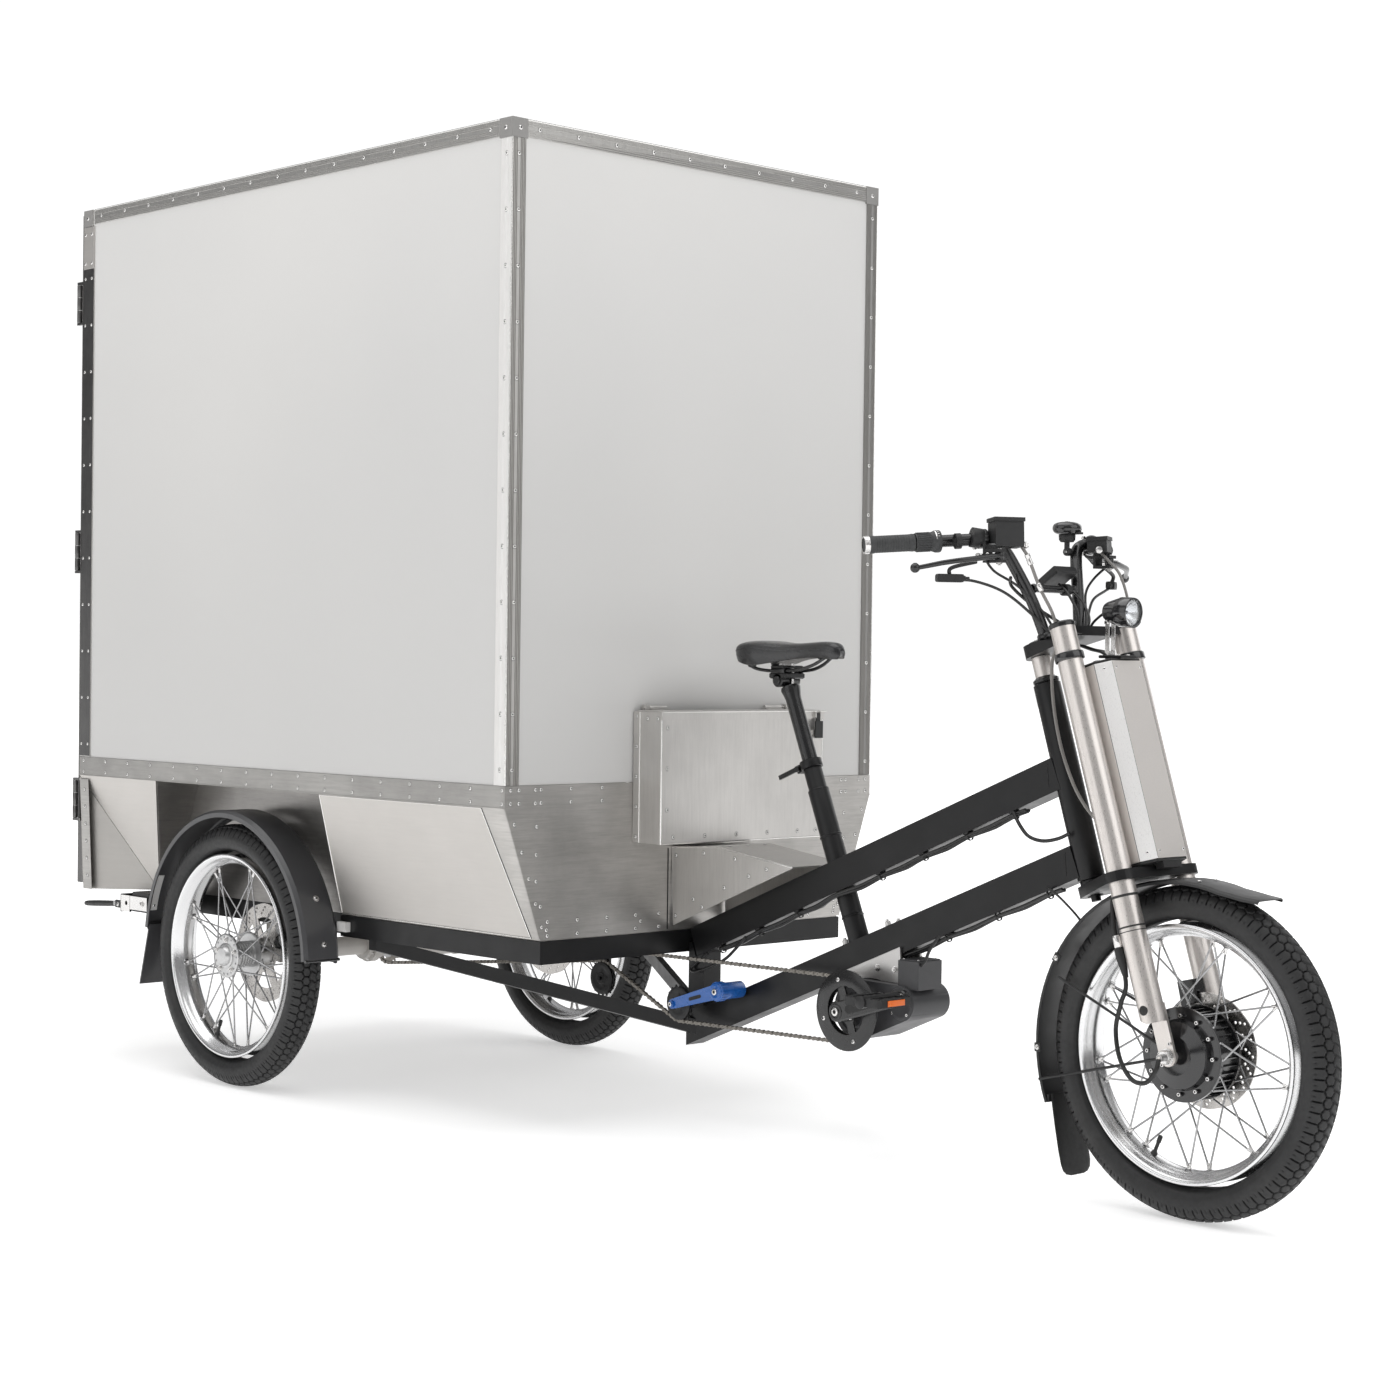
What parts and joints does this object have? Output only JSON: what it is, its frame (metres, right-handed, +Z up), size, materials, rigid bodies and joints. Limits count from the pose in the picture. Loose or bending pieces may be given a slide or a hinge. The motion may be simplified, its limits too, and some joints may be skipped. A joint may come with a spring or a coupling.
{
  "type": "cargo trike",
  "caption": "Electric cargo tricycle with a tall rear box body, sloping twin-beam frame, steered hub-motor front wheel, fork-mounted battery and chain drive.",
  "frame": {"origin": "middle of the footprint, on the ground", "axes": "+X forward, +Y to the rider's left, +Z up"},
  "size_m": [3.173, 1.065, 2.0016],
  "materials": {
    "frame_black": "satin black powder coat",
    "panel_white": "smooth light grey sandwich panel skin",
    "floor_board": "phenolic coated plywood",
    "profile_alu": "ribbed anodised extrusion",
    "skirt_steel": "brushed stainless sheet",
    "insert_grey": "fine brushed light sheet",
    "box_alu": "brushed folded sheet",
    "axle_silver": "satin silver paint",
    "black_plastic": "moulded matt black",
    "gloss_black": "gloss black moulding",
    "black_rubber": "soft rubber",
    "tyre_rubber": "block tread rubber",
    "rim_alu": "polished rim and bright spokes",
    "hub_cast": "cast and machined hub",
    "disc_steel": "drilled brake disc",
    "caliper_black": "anodised black",
    "chain_steel": "oiled chain steel",
    "tension_blue": "blue anodised",
    "fork_silver": "satin champagne silver",
    "battery_alu": "brushed aluminium housing",
    "saddle_black": "smooth vinyl",
    "gear_grey": "dark grey cast housing",
    "mount_silver": "bead blasted plate",
    "door_grey": "smooth light grey sandwich panel skin",
    "lock_steel": "zinc plated rod"
  },
  "bodies": {
    "chassis": {"load_frame": "frame_black", "bike_frame": "frame_black", "rear_axle": "axle_silver", "box_panels": "panel_white", "box_floor": "floor_board", "edge_profiles": "profile_alu", "skirt_plates": "skirt_steel", "skirt_inserts": "insert_grey", "tool_box": "box_alu", "rear_fenders": "gloss_black", "rear_calipers": "caliper_black", "gearbox": "gear_grey", "gearbox_mount": "mount_silver", "drive_chain": "chain_steel", "frame_harness": "black_rubber"},
    "tool_lid": {"tool_box_lid": "box_alu"},
    "tool_latch": {"tool_box_latch": "black_plastic"},
    "right_door": {"door_right": "door_grey"},
    "lock_rod": {"door_bolt": "lock_steel"},
    "left_door": {"door_left": "door_grey"},
    "load_lock": {"load_lock_lever": "black_rubber"},
    "seat": {"seatpost": "frame_black", "saddle": "saddle_black"},
    "clamp_lever": {"seat_clamp_lever": "caliper_black"},
    "crank": {"crank_arms": "caliper_black"},
    "ring": {"chainring": "caliper_black"},
    "pedal_right": {"right_pedal": "black_plastic"},
    "pedal_left": {"left_pedal": "black_plastic"},
    "tensioner": {"tensioner_arm": "tension_blue"},
    "tension_wheel": {"tensioner_pulley": "black_plastic"},
    "guide_wheel": {"guide_pulley": "black_plastic"},
    "sprocket": {"rear_sprocket": "chain_steel"},
    "wheel_right": {"right_tyre": "tyre_rubber", "right_rim": "rim_alu", "right_hub": "hub_cast", "right_disc": "disc_steel"},
    "wheel_left": {"left_tyre": "tyre_rubber", "left_rim": "rim_alu", "left_hub": "hub_cast", "left_disc": "disc_steel"},
    "wheel_front": {"front_tyre": "tyre_rubber", "front_rim": "rim_alu", "hub_motor": "gloss_black", "front_disc": "disc_steel"},
    "steering": {"fork_crowns": "frame_black", "fork_legs": "fork_silver", "battery_case": "battery_alu", "headlight": "gloss_black", "handlebar": "frame_black", "grips": "black_rubber", "brake_reservoirs": "black_plastic", "bar_controls": "black_plastic", "bell": "gloss_black", "front_fender": "gloss_black", "front_caliper": "caliper_black", "front_cables": "black_rubber"},
    "brake_right": {"right_brake_lever": "caliper_black"},
    "brake_left": {"left_brake_lever": "caliper_black"},
    "shifter": {"shift_twister": "black_rubber"},
    "striker": {"bell_striker": "gloss_black"}
  },
  "joints": [
    {"name": "steering_turn", "type": "hinge", "parent": "chassis", "child": "steering", "pos_m": [1.01747, 0, 0.74802], "axis": [-0.299, 0, 0.9542], "range_deg": [-50, 50]},
    {"name": "front_wheel_spin", "type": "hinge", "parent": "steering", "child": "wheel_front", "pos_m": [1.2965, 0, 0.29], "axis": [0, 1, 0], "continuous": true},
    {"name": "right_wheel_spin", "type": "hinge", "parent": "chassis", "child": "wheel_right", "pos_m": [-0.9145, -0.4865, 0.29], "axis": [0, 1, 0], "continuous": true},
    {"name": "left_wheel_spin", "type": "hinge", "parent": "chassis", "child": "wheel_left", "pos_m": [-0.9145, 0.4865, 0.29], "axis": [0, 1, 0], "continuous": true},
    {"name": "crank_spin", "type": "hinge", "parent": "chassis", "child": "crank", "pos_m": [0.5515, 0, 0.29], "axis": [0, 1, 0], "continuous": true},
    {"name": "right_pedal_spin", "type": "hinge", "parent": "crank", "child": "pedal_right", "pos_m": [0.71571, -0.17, 0.334], "axis": [0, 1, 0], "continuous": true},
    {"name": "left_pedal_spin", "type": "hinge", "parent": "crank", "child": "pedal_left", "pos_m": [0.38729, 0.17, 0.246], "axis": [0, 1, 0], "continuous": true},
    {"name": "chainring_spin", "type": "hinge", "parent": "chassis", "child": "ring", "pos_m": [0.5515, -0.075, 0.29], "axis": [0, 1, 0], "continuous": true},
    {"name": "sprocket_spin", "type": "hinge", "parent": "chassis", "child": "sprocket", "pos_m": [-0.9145, -0.075, 0.29], "axis": [0, 1, 0], "continuous": true},
    {"name": "guide_pulley_spin", "type": "hinge", "parent": "chassis", "child": "guide_wheel", "pos_m": [-0.1585, -0.075, 0.282], "axis": [0, 1, 0], "continuous": true},
    {"name": "tensioner_swing", "type": "hinge", "parent": "chassis", "child": "tensioner", "pos_m": [0.2095, -0.06, 0.292], "axis": [0, 1, 0], "range_deg": [0, 10], "stiffness_Nm_per_rad": 2, "springref_deg": -17.19},
    {"name": "tension_pulley_spin", "type": "hinge", "parent": "tensioner", "child": "tension_wheel", "pos_m": [0.0805, -0.075, 0.254], "axis": [0, 1, 0], "continuous": true},
    {"name": "seat_height", "type": "slide", "parent": "chassis", "child": "seat", "axis": [-0.3746, 0, 0.9272], "range_m": [-0.1, 0.12]},
    {"name": "seat_clamp_swing", "type": "hinge", "parent": "chassis", "child": "clamp_lever", "pos_m": [0.34579, 0, 0.74273], "axis": [0, -1, 0], "range_deg": [0, 80]},
    {"name": "tool_lid_swing", "type": "hinge", "parent": "chassis", "child": "tool_lid", "pos_m": [0.0579, 0.047, 0.859], "axis": [0, -1, 0], "range_deg": [0, 80]},
    {"name": "tool_latch_swing", "type": "hinge", "parent": "tool_lid", "child": "tool_latch", "pos_m": [0.1395, 0.258, 0.8454], "axis": [0, -1, 0], "range_deg": [0, 120]},
    {"name": "right_door_swing", "type": "hinge", "parent": "chassis", "child": "right_door", "pos_m": [-1.5735, -0.514, 1.2], "axis": [0, 0, 1], "range_deg": [0, 225]},
    {"name": "left_door_swing", "type": "hinge", "parent": "chassis", "child": "left_door", "pos_m": [-1.5735, 0.514, 1.2], "axis": [0, 0, -1], "range_deg": [0, 225]},
    {"name": "lock_rod_turn", "type": "hinge", "parent": "right_door", "child": "lock_rod", "pos_m": [-1.5775, -0.05, 1.06], "axis": [0, 0, -1], "range_deg": [0, 90]},
    {"name": "load_lock_swing", "type": "hinge", "parent": "chassis", "child": "load_lock", "pos_m": [-1.3945, -0.482, 0.366], "axis": [0, -1, 0], "range_deg": [0, 65]},
    {"name": "right_brake_squeeze", "type": "hinge", "parent": "steering", "child": "brake_right", "pos_m": [0.9785, -0.158, 1.149], "axis": [0, 0, -1], "range_deg": [0, 14], "stiffness_Nm_per_rad": 3, "springref_deg": -2.86},
    {"name": "left_brake_squeeze", "type": "hinge", "parent": "steering", "child": "brake_left", "pos_m": [0.9785, 0.158, 1.149], "axis": [0, 0, 1], "range_deg": [0, 14], "stiffness_Nm_per_rad": 3, "springref_deg": -2.86},
    {"name": "shifter_twist", "type": "hinge", "parent": "steering", "child": "shifter", "pos_m": [0.8185, -0.33, 1.165], "axis": [0.5264, 0.8473, 0.0706], "range_deg": [-90, 90]},
    {"name": "bell_flick", "type": "hinge", "parent": "steering", "child": "striker", "pos_m": [0.9375, 0.084, 1.198], "axis": [0, 0, 1], "range_deg": [0, 15], "stiffness_Nm_per_rad": 0.05, "springref_deg": -2.86}
  ],
  "couplings": [
    {"joint": "chainring_spin", "follows": "crank_spin", "ratio": 1},
    {"joint": "sprocket_spin", "follows": "crank_spin", "ratio": 1.3478},
    {"joint": "tension_pulley_spin", "follows": "crank_spin", "ratio": 1.7222},
    {"joint": "guide_pulley_spin", "follows": "crank_spin", "ratio": -1.7222}
  ]
}
